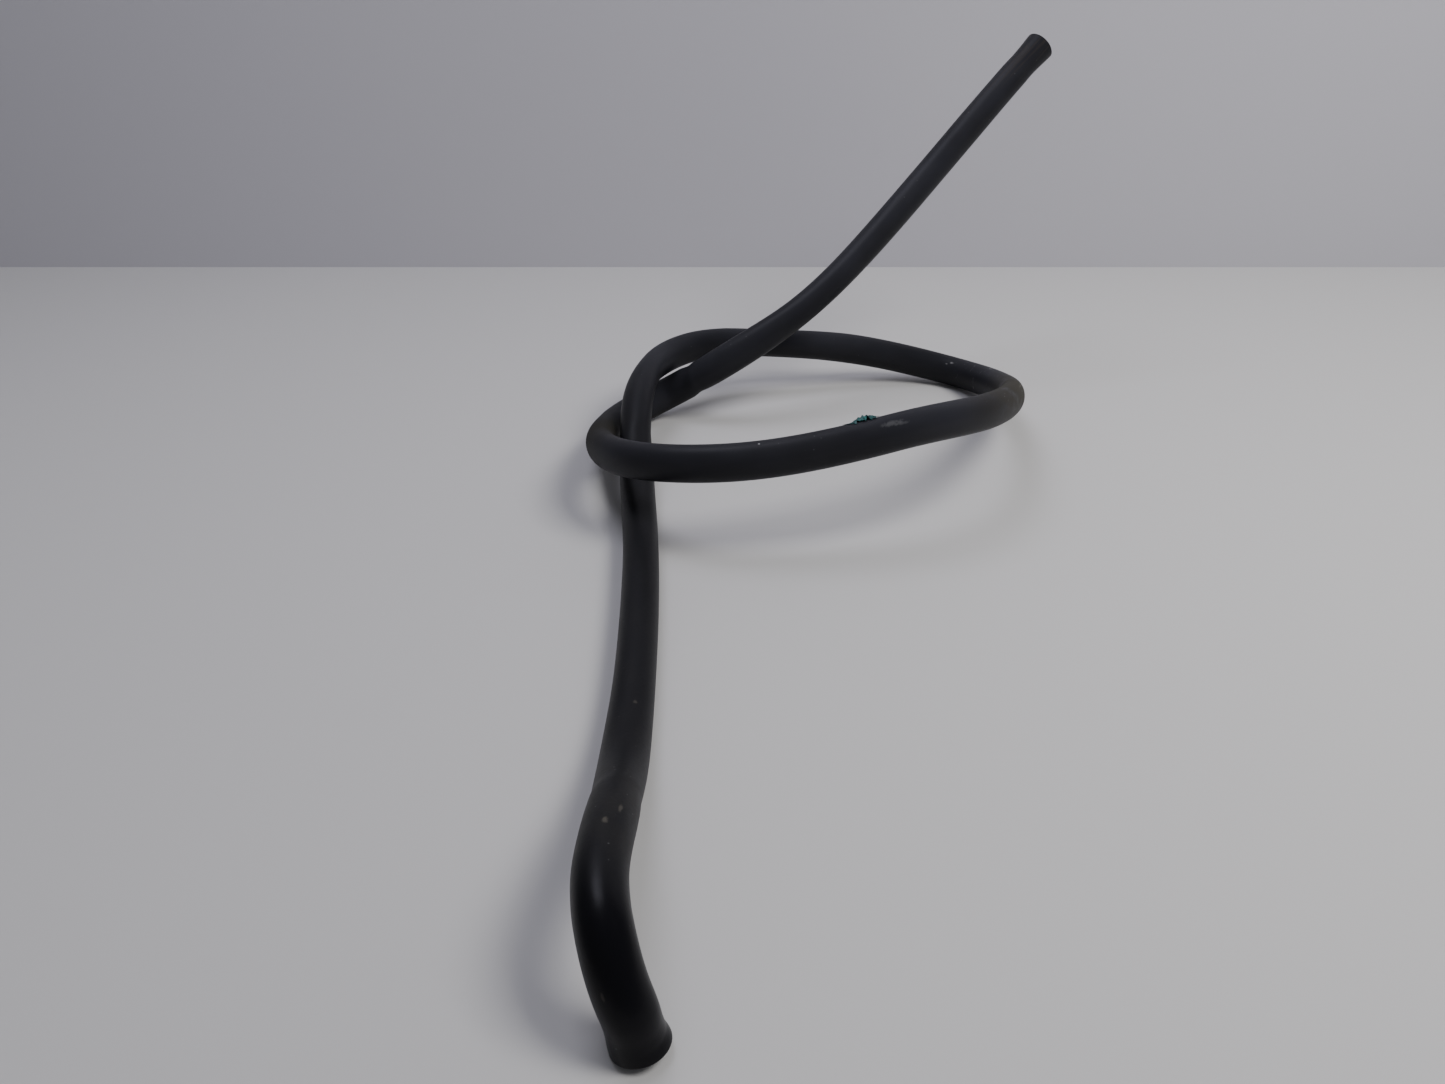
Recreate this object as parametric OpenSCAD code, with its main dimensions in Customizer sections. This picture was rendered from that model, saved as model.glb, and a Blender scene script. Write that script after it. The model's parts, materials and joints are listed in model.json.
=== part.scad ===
// Half-inch moulded rubber hose, tied in a loose overhand knot.
// The inlet end is a moulded elbow that stands on its lip, and the outlet end stands up free.
// +Y runs along the hose as it leaves the elbow, +Z is up, and the hose lies on z = 0.

/* [Hose] */
// Bore of the hose
bore_d = 13; // [10:0.5:14]
// Wall of the smooth inner tube
liner_wall = 1.2; // [0.8:0.1:1.6]
// Thickness of the textile braid
braid_wall = 0.6; // [0.4:0.1:0.9]
// Wall of the outer cover
cover_wall = 1.2; // [0.8:0.1:1.6]

/* [Ends] */
// How far each lip stands proud of the cover
lip_rise = 0.4; // [0:0.1:1]
// Length of each lip along the hose
lip_len = 4; // [2:0.5:4.5]
// Depth of the groove that a clip has pressed behind each lip
clip_dent = 0.3; // [0:0.1:0.6]
// Width of that groove
clip_w = 6; // [4:0.5:7]

/* [Scrap of tape] */
// Length of the tape along the hose
tape_len = 14; // [8:1:24]
// Thickness of the crumpled tape
tape_t = 0.8; // [0.4:0.1:1.6]
// How far round the hose the tape reaches, in degrees
tape_wrap = 70; // [30:5:120]

/* [Smoothness] */
// Sides of the hose
sides = 12; // [8:1:12]
// Longest stretch between two rings of the hose
ring_gap = 34; // [30:1:60]

/* [Hidden] */

// The middle of the hose, from the lip of the elbow to the lip of the free end.
// The first and the last stretch are straight, so that a pipe stub fits in.
route = [
    [14, 0, 2], [12, 1, 13], [8, 5, 24], [4, 14, 34], [0.5, 32, 38],
    [1, 65, 32], [1, 105, 17], [1, 140, 11], [1, 180, 10], [-3, 285, 10],
    [-7, 330, 11], [-11, 375, 18], [-13, 412, 32], [-10, 450, 40], [3, 488, 40],
    [28, 512, 40], [73, 524, 36], [125, 536, 28.5], [170, 544, 17], [205, 535, 11],
    [222, 510, 14], [227, 480, 21], [223, 440, 33], [204, 384, 51], [182, 346, 62],
    [143, 318, 67], [118, 310, 64], [60, 302, 55], [10, 309, 50], [-17, 333, 42],
    [-31, 374, 30], [-32, 420, 17], [-21, 464, 10], [1, 480, 16], [25, 477, 31],
    [52, 478, 48], [96, 496, 73], [150, 534, 117], [236, 594, 200], [256, 607, 218]
];
last = len(route) - 1;

bore_r = bore_d / 2;
liner_r = bore_r + liner_wall;
braid_r = liner_r + braid_wall;
cover_r = braid_r + cover_wall;

// The bore between the two straight ends has flat sides, which stay inside the drilled round ones
flat_bore_r = bore_r - 0.2;
// The tape sticks to this point of the route, on the front of the loop
tape_at = 26;
tape_tilt = 50; // how far the tape leans to the back of the hose
tape_gap = 0.05;
drill_over = 1; // how far a drill starts outside the hose
drill_short = 0.6; // how far it stops before the hose starts to bend

function unit(v) = v / norm(v);
function chord(i) = norm(route[i + 1] - route[i]);

// Heading of the hose at each point of the route, from the two chords that meet there
function heading(i) =
    i <= 1 ? unit(route[1] - route[0]) :
    i >= last - 1 ? unit(route[last] - route[last - 1]) :
    let (before = chord(i - 1), after = chord(i))
    unit(before * (route[i + 1] - route[i]) / after + after * (route[i] - route[i - 1]) / before);

// A cubic between point i and the next one, t from 0 to 1
function on_route(i, t) =
    (2 * t ^ 3 - 3 * t ^ 2 + 1) * route[i] + (t ^ 3 - 2 * t ^ 2 + t) * chord(i) * heading(i)
    + (3 * t ^ 2 - 2 * t ^ 3) * route[i + 1] + (t ^ 3 - t ^ 2) * chord(i) * heading(i + 1);
function heading_on(i, t) =
    unit((6 * t ^ 2 - 6 * t) * (route[i] - route[i + 1])
    + (3 * t ^ 2 - 4 * t + 1) * chord(i) * heading(i) + (3 * t ^ 2 - 2 * t) * chord(i) * heading(i + 1));

// Each ring is [middle, heading, how much the cover grows there]
lip_steps = [[0, lip_rise], [lip_len, lip_rise / 2], [lip_len + clip_w / 2, -clip_dent]];
rings = concat(
    [for (s = lip_steps) [route[0] + s[0] * heading(0), heading(0), s[1]]],
    [for (i = [1:last - 2]) let (n = ceil(chord(i) / ring_gap)) for (k = [0:n - 1])
        [on_route(i, k / n), heading_on(i, k / n), 0]],
    [[route[last - 1], heading(last), 0]],
    [for (k = [len(lip_steps) - 1:-1:0]) let (s = lip_steps[k])
        [route[last] - s[0] * heading(last), heading(last), s[1]]]
);

// A direction square to the hose, carried from ring to ring without twisting
side_ways = [
    for (i = 0, v = unit(cross(rings[0][1], [0, 1, 0])); i < len(rings);
        i = i + 1, v = i < len(rings) ? unit(v - (v * rings[i][1]) * rings[i][1]) : v) v
];

// The hose lies on z = 0 with its footprint centred on the origin
function reach(axis, sign) =
    max([for (r = rings) sign * r[0][axis] + (cover_r + max(r[2], 0)) * sqrt(1 - r[1][axis] ^ 2)]);
seat = [
    (reach(0, -1) - reach(0, 1)) / 2,
    (reach(1, -1) - reach(1, 1)) / 2,
    reach(2, -1)
];

function ring_points(k, r) =
    let (u = side_ways[k], w = cross(rings[k][1], u))
    [for (j = [0:sides - 1]) rings[k][0] + r * (cos(360 * j / sides) * u + sin(360 * j / sides) * w)];

function wall_faces(first, flip) =
    [for (k = [0:len(rings) - 2]) for (j = [0:sides - 1])
        let (a = first + k * sides + j, b = first + k * sides + (j + 1) % sides,
            c = b + sides, d = a + sides)
        for (face = flip ? [[a, c, b], [a, d, c]] : [[a, b, c], [a, c, d]]) face];

function end_faces(out, in, flip) =
    [for (j = [0:sides - 1])
        let (a = out + j, b = out + (j + 1) % sides, c = in + (j + 1) % sides, d = in + j)
        for (face = flip ? [[a, c, b], [a, d, c]] : [[a, b, c], [a, c, d]]) face];

// A tube along the whole route; the cover's outside also follows its lips and clip marks
module tube(inner_r, outer_r, follows_lips = false) {
    count = len(rings) * sides;
    far = count - sides;
    polyhedron(
        points = concat(
            [for (k = [0:len(rings) - 1])
                each ring_points(k, outer_r + (follows_lips ? rings[k][2] : 0))],
            [for (k = [0:len(rings) - 1]) each ring_points(k, inner_r)]
        ),
        faces = concat(
            wall_faces(0, false), wall_faces(count, true),
            end_faces(0, count, true), end_faces(far, count + far, false)
        )
    );
}

module place() {
    translate(seat) children();
}

// Stands its children on a point of the hose, with +Z along the heading
module at_point(p, way) {
    translate(p)
        rotate([0, acos(way.z), atan2(way.y, way.x)])
            children();
}

// Drills the bore from point p of the route through a straight end of this length
module drill(p, way, length) {
    at_point(p - drill_over * way, way)
        cylinder(h = drill_over + length - drill_short, r = bore_r, $fn = 64);
}

module liner() {
    color("#26262a")
        place()
            difference() {
                tube(flat_bore_r, liner_r);
                drill(route[0], heading(0), chord(0));
                drill(route[last], -heading(last), chord(last - 1));
            }
}

module braid() {
    color("#b9b29c")
        place()
            tube(liner_r, braid_r);
}

module cover() {
    color("#1b1b1e")
        place()
            tube(braid_r, cover_r, true);
}

module tape_scrap() {
    way = heading(tape_at);
    color("#1f7f7c")
        place()
            at_point(route[tape_at] - tape_len / 2 * way, way)
                rotate([0, 0, 180 + tape_tilt - tape_wrap / 2])
                    rotate_extrude(angle = tape_wrap, $fn = 48)
                        translate([cover_r + tape_gap, 0])
                            square([tape_t, tape_len]);
}

liner();
braid();
cover();
tape_scrap();
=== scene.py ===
import json
import math

import bmesh
import bpy
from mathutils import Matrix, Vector, noise


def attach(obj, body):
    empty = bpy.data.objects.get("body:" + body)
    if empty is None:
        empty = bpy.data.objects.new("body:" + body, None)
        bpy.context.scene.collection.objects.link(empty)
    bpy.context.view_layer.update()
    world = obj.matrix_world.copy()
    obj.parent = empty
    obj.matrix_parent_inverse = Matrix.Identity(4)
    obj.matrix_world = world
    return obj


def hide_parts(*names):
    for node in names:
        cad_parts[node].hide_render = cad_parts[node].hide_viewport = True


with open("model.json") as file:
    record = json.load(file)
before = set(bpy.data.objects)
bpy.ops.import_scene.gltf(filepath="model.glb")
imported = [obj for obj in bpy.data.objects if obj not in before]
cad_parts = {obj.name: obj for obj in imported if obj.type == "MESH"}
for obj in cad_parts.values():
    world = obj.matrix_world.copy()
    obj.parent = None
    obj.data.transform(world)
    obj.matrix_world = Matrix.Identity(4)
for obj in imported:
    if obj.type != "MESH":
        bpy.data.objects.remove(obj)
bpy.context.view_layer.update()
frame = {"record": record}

mounts = {mount["name"]: mount for mount in frame["record"]["mounts"]}
mm = 0.001

print("camera")
camera = {
    "place": (-0.0703, -0.526, 0.315),
    "pitch": 30.5,      # degrees below the horizon
    "lens": 28.0,
    "sensor": 36.0,
    "nearest": 0.01,    # nothing closer than this is drawn
}


def makeCamera():
    data = bpy.data.cameras.new("camera")
    data.lens = camera["lens"]
    data.sensor_width = camera["sensor"]
    data.clip_start = camera["nearest"]
    eye = bpy.data.objects.new("camera", data)
    eye.location = camera["place"]
    eye.rotation_euler = (math.radians(90 - camera["pitch"]), 0, 0)
    bpy.context.scene.collection.objects.link(eye)
    bpy.context.scene.camera = eye


makeCamera()

print("route")
# The middle of the hose in millimetres, from the lip of the elbow to the lip of the free end.
# The first and the last stretch are straight.
routePoints = [
    (14, 0, 2), (12, 1, 13), (8, 5, 24), (4, 14, 34), (0.5, 32, 38),
    (1, 65, 32), (1, 105, 17), (1, 140, 11), (1, 180, 10), (-3, 285, 10),
    (-7, 330, 11), (-11, 375, 18), (-13, 412, 32), (-10, 450, 40), (3, 488, 40),
    (28, 512, 40), (73, 524, 36), (125, 536, 28.5), (170, 544, 17), (205, 535, 11),
    (222, 510, 14), (227, 480, 21), (223, 440, 33), (204, 384, 51), (182, 346, 62),
    (143, 318, 67), (118, 310, 64), (60, 302, 55), (10, 309, 50), (-17, 333, 42),
    (-31, 374, 30), (-32, 420, 17), (-21, 464, 10), (1, 480, 16), (25, 477, 31),
    (52, 478, 48), (96, 496, 73), (150, 534, 117), (236, 594, 200), (256, 607, 218),
]
route = [Vector(p) * mm for p in routePoints]
seat = Vector(mounts["elbow_bore"]["pos_m"]) - route[0]     # where the frame has the elbow's mouth
route = [p + seat for p in route]
chords = [(b - a).length for a, b in zip(route, route[1:])]


def headingAt(i):
    if i <= 1:
        return (route[1] - route[0]).normalized()
    if i >= len(route) - 2:
        return (route[-1] - route[-2]).normalized()
    before = chords[i - 1]
    after = chords[i]
    way = before / after * (route[i + 1] - route[i]) + after / before * (route[i] - route[i - 1])
    return way.normalized()


def onRoute(i, t):
    leave = chords[i] * headingAt(i)
    arrive = chords[i] * headingAt(i + 1)
    return (
        (2 * t**3 - 3 * t**2 + 1) * route[i]
        + (t**3 - 2 * t**2 + t) * leave
        + (3 * t**2 - 2 * t**3) * route[i + 1]
        + (t**3 - t**2) * arrive
    )


even = {
    "passes": 160,
    "gentle": 55 * mm,      # bends of a larger radius are evened out in full
    "reach": 6,             # how many points each way a bend is measured over
    "leastTurn": 0.01,      # in radians, so that a straight stretch has a radius too
}


def giveOf(points, firstKept, lastKept):
    # How freely each point may move: not at all on the straight ends, and little in a tight bend
    last = len(points) - 1
    gives = []
    for k, point in enumerate(points):
        if k < firstKept or k > last - lastKept:
            gives.append(0.0)
            continue
        before = point - points[max(k - even["reach"], 0)]
        after = points[min(k + even["reach"], last)] - point
        turn = max(before.angle(after), even["leastTurn"])
        radius = (before.length + after.length) / 2 / turn
        gives.append(min((radius / even["gentle"]) ** 2, 1))
    return gives


def evenOut(points, gives):
    # Rubber takes its bends evenly, so each point moves towards the middle of its neighbours
    for _ in range(even["passes"]):
        middles = [(a + c) / 2 for a, c in zip(points, points[2:])]
        middles = points[:1] + middles + points[-1:]
        points = [a.lerp(b, give / 2) for a, b, give in zip(points, middles, gives)]
    return points


class Path:
    # The middle of the hose by distance from the elbow's lip, with a side way carried along untwisted
    def __init__(self, stepsEach):
        spans = range(len(route) - 1)
        points = [onRoute(i, k / stepsEach) for i in spans for k in range(stepsEach)]
        points.append(route[-1].copy())
        gives = giveOf(points, stepsEach, stepsEach // 2)
        once = evenOut(points, gives)
        twice = evenOut(once, gives)
        self.points = [2 * a - b for a, b in zip(once, twice)]      # so that the bends don't shrink
        self.marks = [0.0]
        for a, b in zip(self.points, self.points[1:]):
            self.marks.append(self.marks[-1] + (b - a).length)
        self.length = self.marks[-1]
        self.stepsEach = stepsEach
        last = len(self.points) - 1
        self.ways = []
        for k in range(last + 1):
            way = self.points[min(k + 1, last)] - self.points[max(k - 1, 0)]
            self.ways.append(way.normalized())
        side = self.ways[0].cross(Vector((0, 1, 0)))
        self.sides = []
        for way in self.ways:
            side = (side - side.dot(way) * way).normalized()
            self.sides.append(side)

    def frameAt(self, s):
        low = 0
        high = len(self.marks) - 1
        while high - low > 1:
            middle = (low + high) // 2
            if self.marks[middle] <= s:
                low = middle
            else:
                high = middle
        t = (s - self.marks[low]) / (self.marks[high] - self.marks[low])
        place = self.points[low].lerp(self.points[high], t)
        way = self.ways[low].lerp(self.ways[high], t).normalized()
        side = self.sides[low].lerp(self.sides[high], t)
        side = (side - side.dot(way) * way).normalized()
        return place, way, side

    def bendAt(self, s, reach):
        # Curvature, as a vector towards the inside of the bend
        back = max(s - reach, 0)
        ahead = min(s + reach, self.length)
        return (self.frameAt(ahead)[1] - self.frameAt(back)[1]) / (ahead - back)

    def alongOf(self, index):
        # Distance along the hose of a place on the route, such as 20.5 for halfway from point 20 to 21
        return self.marks[round(index * self.stepsEach)]


path = Path(stepsEach=20)
print("the hose is %.3f m long" % path.length)


print("layers of the hose")
hose = {
    "bore": 6.5 * mm,           # radii
    "liner": 7.7 * mm,
    "braid": 8.3 * mm,
    "cover": 9.5 * mm,
    "sides": 48,
    "outerGap": 2.0 * mm,       # between rings on the outside, which shows
    "innerGap": 3.0 * mm,       # and on the walls that touch each other
    "endGap": 0.4 * mm,         # near the two lips
    "endReach": 14 * mm,
    "leastStep": 0.02 * mm,
    "ovality": 0.6,             # how far the section flattens, for its diameter over the bend's radius
    "mostOval": 0.10,
    "bendReach": 20 * mm,       # how far each way the bend is measured
    "roundUpTo": 60 * mm,       # the elbow is moulded, so it stays round, and so far on it may flatten
    "loopOval": 0.10,           # the loop has lain coiled, so it is taller than wide all along
    "loopFrom": 16.0,           # points of the route where that begins and where it has ended
    "loopTo": 29.5,
    "fade": 60 * mm,            # how long a change from round to oval takes
    "waviness": 0.06 * mm,
    "waveLength": 35 * mm,
}
elbowLip = {
    "flare": 0.35 * mm,     # how far the lip stands out, and over what length
    "reach": 9 * mm,
    "neck": 0.1 * mm,       # how deep an old clip has bitten, and where
    "neckAt": 10 * mm,
    "neckReach": 8 * mm,
}
bulge = {"rise": 0.9 * mm, "reach": 5 * mm}     # the elbow's lip turns out further on its right side
freeLip = {
    "flare": 0.6 * mm,
    "reach": 12 * mm,
    "neck": 0.3 * mm,
    "neckAt": 19 * mm,
    "neckReach": 10 * mm,
}


def smoothStep(x):
    x = min(max(x, 0.0), 1.0)
    return x * x * (3 - 2 * x)


def lipRise(lip, distance):
    flare = lip["flare"] * smoothStep(1 - distance / lip["reach"])
    neck = lip["neck"] * smoothStep(1 - abs(distance - lip["neckAt"]) / lip["neckReach"])
    return flare - neck


def stations(gap):
    # Distances along the hose, closer together near the lips
    ends = round(hose["endReach"] / hose["endGap"])
    near = [hose["endReach"] * k / ends for k in range(ends)]
    middle = path.length - 2 * hose["endReach"]
    count = round(middle / gap)
    run = [hose["endReach"] + middle * k / count for k in range(count + 1)]
    return near + run + [path.length - s for s in reversed(near)]


def tubeOutline(inner, outer, recess, rounding, outerGap, followsLips):
    # The closed outline of one layer's wall as (radius, distance along) pairs
    low = recess
    high = path.length - recess
    outline = []
    for s in stations(outerGap):
        s = min(max(s, low), high)
        edge = min(s - low, high - s, rounding)
        drop = rounding - math.sqrt(max(rounding**2 - (rounding - edge) ** 2, 0))
        rise = lipRise(elbowLip, s) + lipRise(freeLip, path.length - s) if followsLips else 0
        outline.append((outer + rise - drop, s))
    for s in reversed(stations(hose["innerGap"])):
        outline.append((inner, min(max(s, low), high)))
    kept = [outline[0]]
    for point in outline[1:]:
        if math.dist(point, kept[-1]) > hose["leastStep"]:
            kept.append(point)
    return kept


def spinTube(outline):
    # Spins an outline into the straight hose, which stands along Z
    bm = bmesh.new()
    verts = [bm.verts.new((radius, 0, along)) for radius, along in outline]
    edges = [bm.edges.new((a, b)) for a, b in zip(verts, verts[1:] + verts[:1])]
    bmesh.ops.spin(
        bm, geom=verts + edges, cent=(0, 0, 0), axis=(0, 0, 1), angle=math.tau,
        steps=hose["sides"], use_merge=True,
    )
    bmesh.ops.recalc_face_normals(bm, faces=bm.faces)
    return bm


def loopShare(s):
    # 1 on the loop, fading to 0 before it and after it
    first = path.alongOf(hose["loopFrom"])
    last = path.alongOf(hose["loopTo"])
    return smoothStep((s - first) / hose["fade"]) * smoothStep((last - s) / hose["fade"])


def sectionAt(s):
    # Where the hose's section at s lies, and how far it is flattened by its bend and by lying coiled
    place, way, side = path.frameAt(min(max(s, 0), path.length))
    curve = path.bendAt(s, hose["bendReach"])
    oval = min(hose["ovality"] * 2 * hose["cover"] * curve.length, hose["mostOval"])
    oval *= smoothStep((s - hose["roundUpTo"]) / hose["fade"])
    inside = (curve - curve.dot(way) * way).normalized() if oval > 0 else side
    level = Vector((0, 0, 1)).cross(way).normalized()
    share = loopShare(s)
    bent = (inside, way.cross(inside), oval * (1 - share))
    coiled = (level, way.cross(level), hose["loopOval"] * share)
    return place, side, way.cross(side), (bent, coiled)


sections = {}       # kept by distance along, since a ring of points shares one


def bend(point):
    # Takes a point of the straight hose to where it lies
    key = round(point.z, 7)
    if key not in sections:
        sections[key] = sectionAt(point.z)
    place, side, other, flattenings = sections[key]
    arm = point.x * side + point.y * other
    moved = place + arm
    for narrow, wide, oval in flattenings:
        moved += oval * (arm.dot(wide) * wide - arm.dot(narrow) * narrow)
    return moved


def topOf(s):
    # The angle of the hose's top, and which way round leads from there to the back
    place, way, side = path.frameAt(s)
    other = way.cross(side)
    top = math.atan2(other.z, side.z)
    back = math.atan2(other.y, side.y)
    return top, math.copysign(1, math.sin(back - top))


def layDown(name, bm, wavy):
    # Lays the straight hose on the ground, and keeps its straight places for the finish
    mesh = bpy.data.meshes.new(name)
    bm.to_mesh(mesh)
    bm.free()
    straight = mesh.attributes.new("straight", "FLOAT_VECTOR", "POINT")
    for vertex, kept in zip(mesh.vertices, straight.data):
        place = vertex.co.copy()
        kept.vector = place
        if wavy:
            wave = noise.noise(place / hose["waveLength"]) * hose["waviness"]
            radial = Vector((place.x, place.y, 0)).normalized()
            swell = bulge["rise"] * smoothStep(1 - place.z / bulge["reach"]) * max(-radial.x, 0)
            place += (wave + swell) * radial
        laid = bend(place)
        laid.z = max(laid.z, 0)         # rubber that meets the ground is pressed flat
        vertex.co = laid
    mesh.update()
    upward = mesh.attributes.new("upward", "FLOAT", "POINT")
    for vertex, kept in zip(mesh.vertices, upward.data):
        kept.value = vertex.normal.z
    for face in mesh.polygons:
        face.use_smooth = True
    piece = bpy.data.objects.new(name, mesh)
    bpy.context.scene.collection.objects.link(piece)
    return piece


def makeLayer(name, inner, outer, recess, rounding, outerGap, outside):
    # Only the outside of the hose has lips and waves
    outline = tubeOutline(inner, outer, recess, rounding, outerGap, outside)
    piece = layDown(name, spinTube(outline), outside)
    print(name, len(piece.data.polygons), "faces")
    return piece


hoseCover = makeLayer(
    "hoseCover", hose["braid"], hose["cover"], recess=0, rounding=0.4 * mm,
    outerGap=hose["outerGap"], outside=True,
)
hoseBraid = makeLayer(
    "hoseBraid", hose["liner"], hose["braid"], recess=0.25 * mm, rounding=0.15 * mm,
    outerGap=hose["innerGap"], outside=False,
)
hoseLiner = makeLayer(
    "hoseLiner", hose["bore"], hose["liner"], recess=0.05 * mm, rounding=0.3 * mm,
    outerGap=hose["innerGap"], outside=False,
)

print("scrap of tape")
tape = {
    "at": 26,               # point of the route
    "length": 21 * mm,
    "from": -5,             # degrees round the hose, from its top towards the back
    "to": 82,
    "crumple": 3.6 * mm,    # how high its folds stand
    "fold": 4.5 * mm,       # and how far apart they are
    "ragged": 0.45,         # how much of its half width the torn edges lose
    "tears": 7.0,           # how many tears an edge has
    "peak": (-0.08, -0.12),     # where the folds stand highest, from the middle, in lengths of a side
    "spread": (0.42, 0.45),     # and how far from there they reach
    "gap": 0.25 * mm,
    "thickness": 0.14 * mm,
    "columns": 60,
    "rows": 40,
}


def torn(across, along, seed):
    # Pulls a place on the tape in towards its middle line, by as much as the edge there is torn
    side = math.copysign(seed, across)
    loss = 0.5 + noise.noise(Vector((along * tape["tears"], side, 0)))
    loss += 0.5 * noise.noise(Vector((along * tape["tears"] * 3, side, 5)))
    return across * (1 - tape["ragged"] * min(max(loss, 0), 1))


def makeTape():
    along = path.alongOf(tape["at"])
    top, turn = topOf(along)
    arc = math.radians(tape["to"] - tape["from"])
    peakU, peakV = tape["peak"]
    spreadU, spreadV = tape["spread"]
    bm = bmesh.new()
    bmesh.ops.create_grid(bm, x_segments=tape["columns"], y_segments=tape["rows"], size=0.5)
    for vertex in bm.verts:
        u = torn(vertex.co.x, vertex.co.y, seed=2.3)    # along the hose, from -0.5 to 0.5
        v = torn(vertex.co.y, vertex.co.x, seed=7.1)    # and round it
        s = along + u * tape["length"]
        angle = top + turn * (math.radians(tape["from"]) + (v + 0.5) * arc)
        fold = Vector((u * tape["length"], v * arc * hose["cover"], 0)) / tape["fold"]
        raised = smoothStep(1 - abs(u - peakU) / spreadU) * smoothStep(1 - abs(v - peakV) / spreadV)
        folds = 0.6 + 0.45 * noise.noise(fold * 1.3) + 0.3 * noise.noise(fold * 3.1)    # broad and fine
        radius = hose["cover"] + tape["gap"] + tape["crumple"] * raised * max(folds, 0)
        vertex.co = bend(Vector((radius * math.cos(angle), radius * math.sin(angle), s)))
    bmesh.ops.solidify(bm, geom=bm.faces, thickness=tape["thickness"])
    bmesh.ops.recalc_face_normals(bm, faces=bm.faces)
    mesh = bpy.data.meshes.new("tapeScrap")
    bm.to_mesh(mesh)
    bm.free()
    piece = bpy.data.objects.new("tapeScrap", mesh)
    bpy.context.scene.collection.objects.link(piece)
    return piece


tapeScrap = makeTape()

print("finishes")


class Value:
    # A number in a node tree, so that sums on it add Math nodes
    def __init__(self, tree, socket):
        self.tree = tree
        self.socket = socket

    def math(self, operation, *operands):
        node = self.tree.nodes.new("ShaderNodeMath")
        node.operation = operation
        for socket, value in zip(node.inputs, operands):
            if isinstance(value, Value):
                self.tree.links.new(value.socket, socket)
            else:
                socket.default_value = value
        return Value(self.tree, node.outputs[0])

    def __add__(self, other):
        return self.math("ADD", self, other)

    def __radd__(self, other):
        return self.math("ADD", other, self)

    def __sub__(self, other):
        return self.math("SUBTRACT", self, other)

    def __rsub__(self, other):
        return self.math("SUBTRACT", other, self)

    def __mul__(self, other):
        return self.math("MULTIPLY", self, other)

    def __rmul__(self, other):
        return self.math("MULTIPLY", other, self)

    def __truediv__(self, other):
        return self.math("DIVIDE", self, other)

    def __abs__(self):
        return self.math("ABSOLUTE", self)

    def sine(self):
        return self.math("SINE", self)

    def orMore(self, other):
        return self.math("MAXIMUM", self, other)

    def atLeast(self, least):
        # Squeezes 0 to 1 into least to 1
        return least + (1 - least) * self

    def clipped(self):
        return self.math("MINIMUM", self.orMore(0.0), 1.0)

    def ease(self, low, high):
        # 0 at low, 1 at high and smooth between them, where low may be the larger one
        x = ((self - low) / (high - low)).clipped()
        return x * x * (3 - 2 * x)

    def around(self, centre, reach):
        # 1 at centre, fading to 0 at reach on both sides
        return abs(self - centre).ease(reach, 0)


class Finish:
    def __init__(self, name):
        self.material = bpy.data.materials.new(name)
        self.material.use_nodes = True
        self.tree = self.material.node_tree
        self.shader = self.tree.nodes["Principled BSDF"]

    def node(self, kind, settings, values, output=0):
        # Adds a node, sets it up, fills its sockets and gives back one of its outputs
        node = self.tree.nodes.new(kind)
        for name, value in settings.items():
            setattr(node, name, value)
        for name, value in values.items():
            self.fill(node.inputs[name], value)
        return Value(self.tree, node.outputs[output])

    def fill(self, socket, value):
        if isinstance(value, Value):
            self.tree.links.new(value.socket, socket)
        else:
            socket.default_value = value

    def set(self, **values):
        sockets = {"baseColor": "Base Color", "roughness": "Roughness", "specular": "Specular IOR Level"}
        for name, value in values.items():
            self.fill(self.shader.inputs[sockets[name]], value)

    def attribute(self, name, output):
        return self.node("ShaderNodeAttribute", {"attribute_name": name}, {}, output)

    def object(self):
        return self.node("ShaderNodeTexCoord", {}, {}, "Object")

    def stretched(self, vector, scale):
        return self.node("ShaderNodeVectorMath", {"operation": "MULTIPLY"}, {0: vector, 1: scale})

    def parts(self, vector):
        first = self.node("ShaderNodeSeparateXYZ", {}, {0: vector})
        return [Value(self.tree, socket) for socket in first.socket.node.outputs]

    def near(self, vector, mark):
        # 1 at the mark's spot and 0 at its edge
        away = self.node("ShaderNodeVectorMath", {"operation": "SUBTRACT"}, {0: vector, 1: mark["spot"]})
        away = self.stretched(away, mark["size"])
        return 1 - self.node("ShaderNodeVectorMath", {"operation": "LENGTH"}, {0: away}, "Value")

    def noise(self, vector, scale, detail=3.0):
        values = {"Vector": vector, "Scale": scale, "Detail": detail, "Roughness": 0.55}
        return self.node("ShaderNodeTexNoise", {}, values, "Fac")

    def cells(self, vector, scale):
        return self.node("ShaderNodeTexVoronoi", {}, {"Vector": vector, "Scale": scale}, "Distance")

    def mix(self, amount, a, b):
        return self.node("ShaderNodeMix", {"data_type": "RGBA"}, {0: amount, 6: a, 7: b}, 2)

    def bump(self, height, distance):
        values = {"Height": height, "Distance": distance, "Strength": 1.0}
        self.fill(self.shader.inputs["Normal"], self.node("ShaderNodeBump", {}, values))


def rgb(red, green, blue):
    return (red, green, blue, 1.0)


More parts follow.
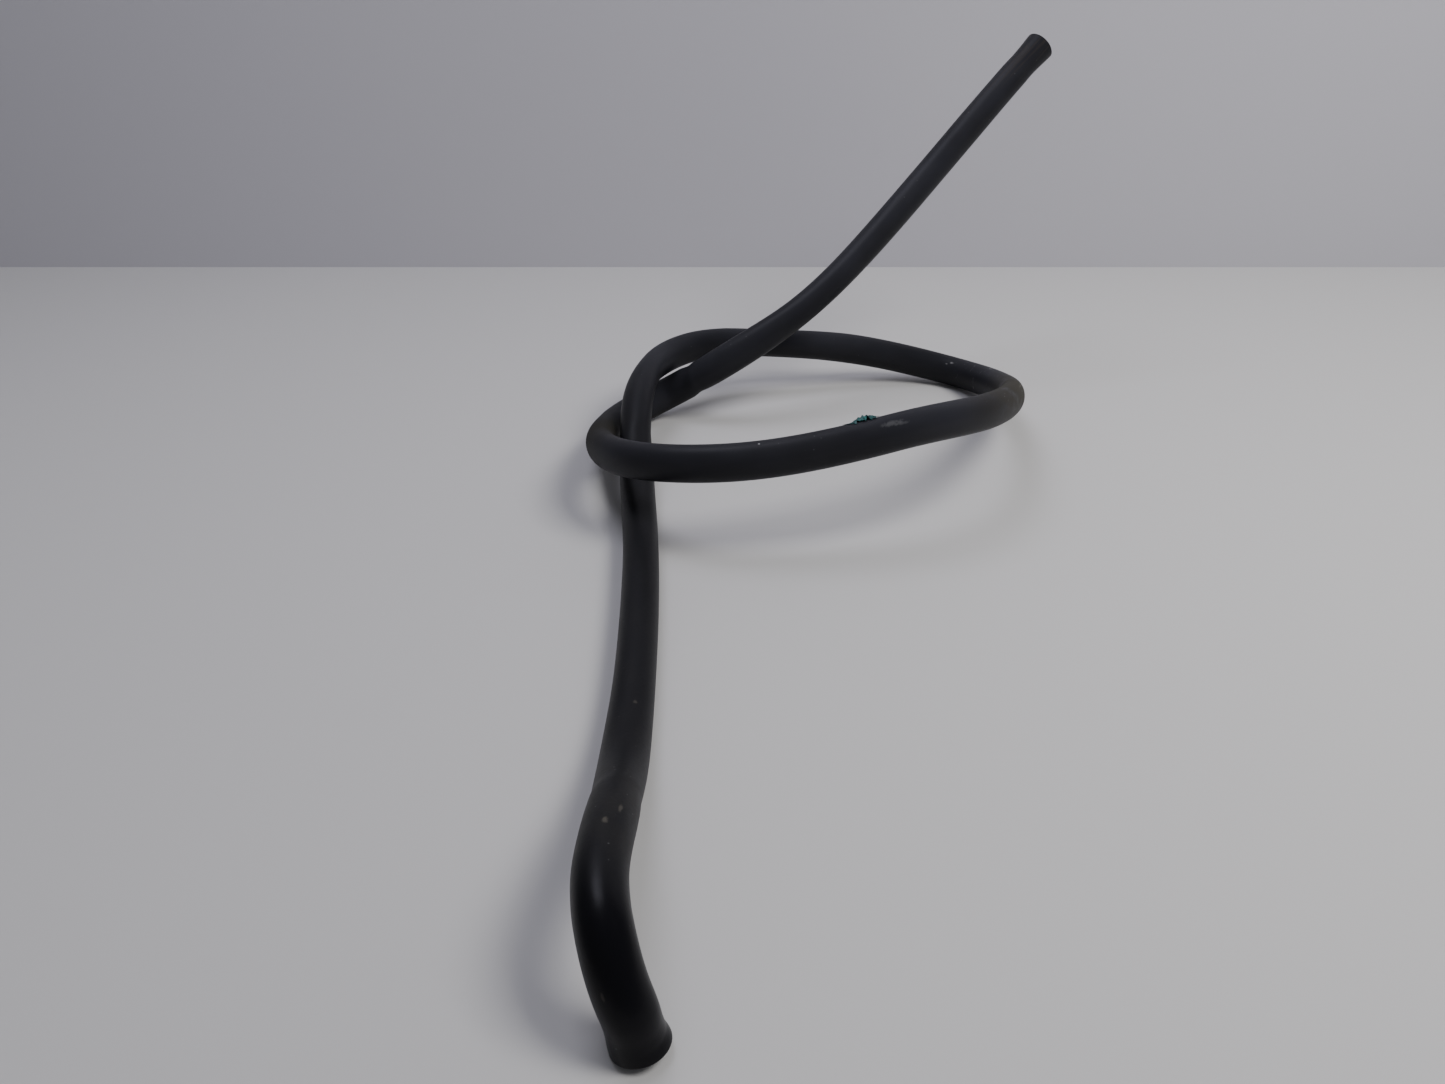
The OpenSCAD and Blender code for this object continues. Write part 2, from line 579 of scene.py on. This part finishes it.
rubber = {
    "black": rgb(0.0062, 0.0062, 0.0072),
    "elbow": rgb(0.0035, 0.0034, 0.0048),
    # The worn film is a grey film of age and also painted sheen: its bluish grey stands in for the cool
    # sheen that overhead light gives the hose's tops
    "filmAndSheen": rgb(0.0240, 0.0243, 0.0305),
    "dust": rgb(0.045, 0.042, 0.036),
    "silt": rgb(0.040, 0.036, 0.024),       # on the two bends of the loop
    "chalk": rgb(0.34, 0.34, 0.35),
    "chip": rgb(0.17, 0.155, 0.125),
    "soil": rgb(0.045, 0.036, 0.030),
    "elbowRough": 0.32,
    "runRough": 0.46,
    "dustRough": 0.75,
    "leftRougher": 0.25,        # how much rougher the left bend is
    "specular": 0.16,
    "relief": 0.06 * mm,
}
wear = {
    "leftBend": (30.3, 75 * mm),        # points of the route, and how far each way the wear goes
    "rightBend": (22.6, 105 * mm),
    "hump": (5.0, 45 * mm),
    "scratched": (20.6, 60 * mm),
    "older": (11, 14),                  # between these points the film comes up: a grey film of age that also carries painted sheen on the tops
    "elbowFrom": 40 * mm,               # the elbow's moulded skin fades between these, from its lip
    "elbowTo": 66 * mm,
    "soiledFrom": 120 * mm,             # soil on the free end grows between these, from its lip
    "soiledTo": 20 * mm,
}
pattern = {         # how finely each one is drawn, in repeats to the metre
    "patches": 95,
    "broad": 28,
    "grain": 1900,
    "fine": 620,
    "lengthwise": 520,
    "crosswise": 900,
    "flecks": 230,
}


def markAt(index, ahead, facing, length, width, weight, color):
    # A mark some way ahead of a point of the route, on the side of the hose that faces this way
    s = path.alongOf(index) + ahead
    place, way, side = path.frameAt(s)
    out = Vector((side.dot(facing), way.cross(side).dot(facing))).normalized() * hose["cover"]
    size = (1 / width, 1 / width, 1 / length)
    return {"spot": (out.x, out.y, s), "size": size, "weight": weight, "color": color}


def makeMarks():
    chalk = rubber["chalk"]
    chip = rubber["chip"]
    return [
        markAt(26, -13 * mm, Vector((0, -6, 8)), 8 * mm, 2.2 * mm, 0.15, chalk),    # scuffs by the tape
        markAt(26, -18 * mm, Vector((0, -7, 7)), 5 * mm, 1.3 * mm, 0.10, chalk),
        markAt(27, 1 * mm, Vector((0, -2, 9)), 0.9 * mm, 0.9 * mm, 0.7, chalk),
        markAt(19, 2 * mm, Vector((0, -7, 7)), 2.6 * mm, 1.0 * mm, 0.5, chalk),
        markAt(19, -3 * mm, Vector((0, -8, 6)), 1.5 * mm, 0.8 * mm, 0.4, chalk),
        markAt(20, 12 * mm, Vector((0, -5, 8)), 2.4 * mm, 1.2 * mm, 0.4, chalk),
        markAt(22.4, 0, Vector((2, -6, 7)), 17 * mm, 0.8 * mm, 0.35, chip),         # where the mould parted
        markAt(5, -15 * mm, Vector((0, -5, 8)), 3.0 * mm, 1.6 * mm, 0.34, chip),
        markAt(5, -6 * mm, Vector((3, -5, 8)), 3.4 * mm, 1.1 * mm, 0.25, chip),
        markAt(4.3, 0, Vector((-8, -2, 5)), 3.5 * mm, 1.8 * mm, 0.12, chip),
        markAt(2, 0, Vector((-3, -8, 2)), 2.0 * mm, 0.9 * mm, 0.15, chip),
        markAt(7.2, 0, Vector((2, -5, 8)), 2.0 * mm, 1.4 * mm, 0.22, chip),
    ]


def rubberFinish():
    finish = Finish("hoseRubber")
    straight = finish.attribute("straight", "Vector")
    upward = finish.attribute("upward", "Fac")
    s = finish.parts(straight)[2]       # distance along the hose

    def spot(name):
        index, reach = wear[name]
        return s.around(path.alongOf(index), reach)

    def drawn(name, stretch, detail=3.0):
        return finish.noise(finish.stretched(straight, stretch), pattern[name], detail)

    patches = drawn("patches", (1, 1, 0.5), 4)
    broad = drawn("broad", (1, 1, 0.6), 2)
    lengthwise = drawn("lengthwise", (1, 1, 0.03))
    crosswise = drawn("crosswise", (0.12, 0.12, 1))
    grain = finish.noise(straight, pattern["grain"])
    fine = finish.noise(straight, pattern["fine"])
    flecks = finish.cells(straight, pattern["flecks"])

    leftBend = spot("leftBend")
    rightBend = spot("rightBend")
    hump = spot("hump")
    elbow = s.ease(wear["elbowTo"], wear["elbowFrom"])
    freeEnd = s.ease(path.length - wear["soiledFrom"], path.length - wear["soiledTo"])
    facingUp = upward.ease(-0.6, 0.6)
    older = s.ease(path.alongOf(wear["older"][0]), path.alongOf(wear["older"][1])) * (1 - leftBend)
    # The film is strongest on upward faces: partly a real film of age, partly painted sheen of the overhead
    # light on the tops
    film = broad.ease(0.3, 0.7).atLeast(0.55) * facingUp.atLeast(0.35) * older.atLeast(0.12)
    dust = ((0.10 + 0.30 * hump) * patches.ease(0.36, 0.66) * facingUp * (1 - elbow)).clipped()
    silt = (0.5 * leftBend + 1.3 * rightBend) * patches.ease(0.22, 0.54) * facingUp.atLeast(0.35)
    silt = silt.clipped()
    specks = flecks.ease(0.12, 0.05) * patches.ease(0.5, 0.6) * (0.2 + hump + rightBend).clipped()
    scratches = crosswise.ease(0.63, 0.70) * fine.ease(0.45, 0.6) * spot("scratched")
    streaks = lengthwise.ease(0.54, 0.64) * freeEnd

    color = finish.mix(elbow, rubber["black"], rubber["elbow"])
    # Mixes in the film of age together with the painted sheen on the tops
    color = finish.mix(film * (1 - 0.9 * elbow), color, rubber["filmAndSheen"])
    color = finish.mix(dust * 0.5, color, rubber["dust"])
    color = finish.mix(silt * (0.2 + 1.1 * fine), color, rubber["silt"])
    color = finish.mix(streaks * 0.3, color, rubber["soil"])
    color = finish.mix(scratches * 0.6, color, rubber["chalk"])
    color = finish.mix(specks * 0.5, color, rubber["chalk"])
    for mark in makeMarks():
        ragged = (finish.near(straight, mark) + 1.2 * (fine - 0.5)).ease(0.1, 0.8)
        color = finish.mix(ragged * mark["weight"], color, mark["color"])
    rough = rubber["runRough"] + (rubber["elbowRough"] - rubber["runRough"]) * elbow
    rough = rough + (rubber["dustRough"] - rubber["runRough"]) * (dust + silt).clipped() * 0.7
    rough = rough + 0.1 * (fine - 0.5) + rubber["leftRougher"] * leftBend
    finish.set(baseColor=color, roughness=rough, specular=rubber["specular"])
    finish.bump(grain * 0.25 + fine * 0.5 + scratches * 0.6 + dust * 0.5, rubber["relief"])
    return finish.material


liner = {
    "black": rgb(0.012, 0.012, 0.013),
    "lime": rgb(0.10, 0.095, 0.085),    # what water has left behind
    "grain": 700,                       # repeats to the metre
    "limeGrain": 160,
    "relief": 0.08 * mm,
}


def linerFinish():
    finish = Finish("linerRubber")
    straight = finish.attribute("straight", "Vector")
    fine = finish.noise(straight, liner["grain"])
    lime = finish.noise(finish.stretched(straight, (1, 1, 0.3)), liner["limeGrain"], 4)
    lime = lime.ease(0.48, 0.75)
    finish.set(
        baseColor=finish.mix(lime * 0.35, liner["black"], liner["lime"]),
        roughness=0.5 + 0.25 * lime,
    )
    finish.bump(fine * 0.4 + lime * 0.6, liner["relief"])
    return finish.material


yarn = {
    "pale": rgb(0.34, 0.32, 0.27),
    "shade": rgb(0.10, 0.095, 0.085),
    "strands": 24,
    "pitch": 14 * mm,       # the length of hose in which a strand goes half way round
    "fibres": 2600,         # repeats to the metre
    "relief": 0.25 * mm,
}


def yarnFinish():
    finish = Finish("braidYarn")
    straight = finish.attribute("straight", "Vector")
    x, y, s = finish.parts(straight)
    angle = y.math("ARCTAN2", y, x)
    turns = yarn["strands"] / 2
    rising = angle * turns + s * (math.pi * turns / yarn["pitch"])
    falling = angle * turns - s * (math.pi * turns / yarn["pitch"])
    over = 0.5 + 0.5 * rising.sine()
    under = 0.5 + 0.5 * falling.sine()
    weave = over.orMore(under)
    fibres = finish.noise(straight, yarn["fibres"], 2)
    height = (weave * 0.8 + fibres * 0.3).clipped()
    finish.set(baseColor=finish.mix(height, yarn["shade"], yarn["pale"]), roughness=0.85)
    finish.bump(height, yarn["relief"])
    return finish.material


teal = {
    "film": rgb(0.007, 0.072, 0.072),
    "edge": rgb(0.015, 0.14, 0.13),
    "grime": rgb(0.008, 0.014, 0.017),
    "creases": 700,         # repeats to the metre
    "grimeGrain": 230,
    "relief": 0.2 * mm,
}


def tapeFinish():
    finish = Finish("tealTape")
    place = finish.object()
    creases = finish.noise(place, teal["creases"], 4)
    grime = finish.noise(place, teal["grimeGrain"]).ease(0.42, 0.62)
    color = finish.mix(creases.ease(0.45, 0.65), teal["film"], teal["edge"])
    finish.set(baseColor=finish.mix(grime * 0.75, color, teal["grime"]), roughness=0.38 + 0.3 * grime)
    finish.bump(creases, teal["relief"])
    return finish.material


hoseCover.data.materials.append(rubberFinish())
hoseBraid.data.materials.append(yarnFinish())
hoseLiner.data.materials.append(linerFinish())
tapeScrap.data.materials.append(tapeFinish())

print("what stands for what")
pieces = [
    (hoseCover, "cover", "cover_rubber"),
    (hoseBraid, "braid", "braid_textile"),
    (hoseLiner, "liner", "liner_rubber"),
    (tapeScrap, "tape_scrap", "tape_film"),
]
for piece, node, slot in pieces:
    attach(piece, "root")
    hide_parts(node)

print("floor, backdrop and lights")
studio = {
    "floorColor": rgb(0.605, 0.597, 0.59),
    "floorRough": 0.7,
    "wallColor": rgb(0.55, 0.54, 0.585),
    "wallRough": 0.6,
    "wallAt": 0.520,
    "size": 6.0,
    "wallHeight": 2.0,
    "world": rgb(0.80, 0.82, 0.88),
    "worldStrength": 0.20,
}


def makePlane(name, corners, color, rough):
    bm = bmesh.new()
    bm.faces.new([bm.verts.new(corner) for corner in corners])
    mesh = bpy.data.meshes.new(name)
    bm.to_mesh(mesh)
    bm.free()
    plane = bpy.data.objects.new(name, mesh)
    bpy.context.scene.collection.objects.link(plane)
    finish = Finish(name)
    finish.set(baseColor=color, roughness=rough)
    mesh.materials.append(finish.material)
    return finish


half = studio["size"] / 2
wallAt = studio["wallAt"]
makePlane(
    "floor", [(-half, -half, 0), (half, -half, 0), (half, half, 0), (-half, half, 0)],
    studio["floorColor"], studio["floorRough"],
)
wall = makePlane(
    "backdrop",
    [(-half, wallAt, 0), (half, wallAt, 0), (half, wallAt, studio["wallHeight"]),
     (-half, wallAt, studio["wallHeight"])],
    studio["wallColor"], studio["wallRough"],
)


def seeThroughFromBehind(finish):
    # So that the backdrop doesn't hide the hose from a camera behind it
    behind = finish.node("ShaderNodeNewGeometry", {}, {}, "Backfacing")
    clear = finish.node("ShaderNodeBsdfTransparent", {}, {})
    solid = Value(finish.tree, finish.shader.outputs[0])
    both = finish.node("ShaderNodeMixShader", {}, {0: behind, 1: solid, 2: clear})
    finish.fill(finish.tree.nodes["Material Output"].inputs["Surface"], both)


seeThroughFromBehind(wall)

lights = {
    "key": {"place": (0.66, -0.28, 1.05), "aim": (0.5, 0.2, 0), "size": 0.55, "power": 12.2,
            "color": (1.0, 0.99, 0.975), "mirrored": False},
    "glint": {"place": (-0.36, 0.24, 1.20), "aim": (-0.1, -0.28, 0), "size": 0.55, "power": 5.0,
              "color": (0.86, 0.86, 1.0), "mirrored": True},
}


def makeLight(name, facts):
    data = bpy.data.lights.new(name, "AREA")
    data.size = facts["size"]
    data.energy = facts["power"]
    data.color = facts["color"]
    lamp = bpy.data.objects.new(name, data)
    lamp.location = facts["place"]
    lamp.visible_glossy = facts["mirrored"]
    away = Vector(facts["place"]) - Vector(facts["aim"])
    lamp.rotation_euler = away.to_track_quat("Z", "Y").to_euler()
    bpy.context.scene.collection.objects.link(lamp)


for name, facts in lights.items():
    makeLight(name, facts)
world = bpy.data.worlds.new("studio")
world.use_nodes = True
sky = world.node_tree.nodes["Background"]
sky.inputs["Color"].default_value = studio["world"]
sky.inputs["Strength"].default_value = studio["worldStrength"]
bpy.context.scene.world = world
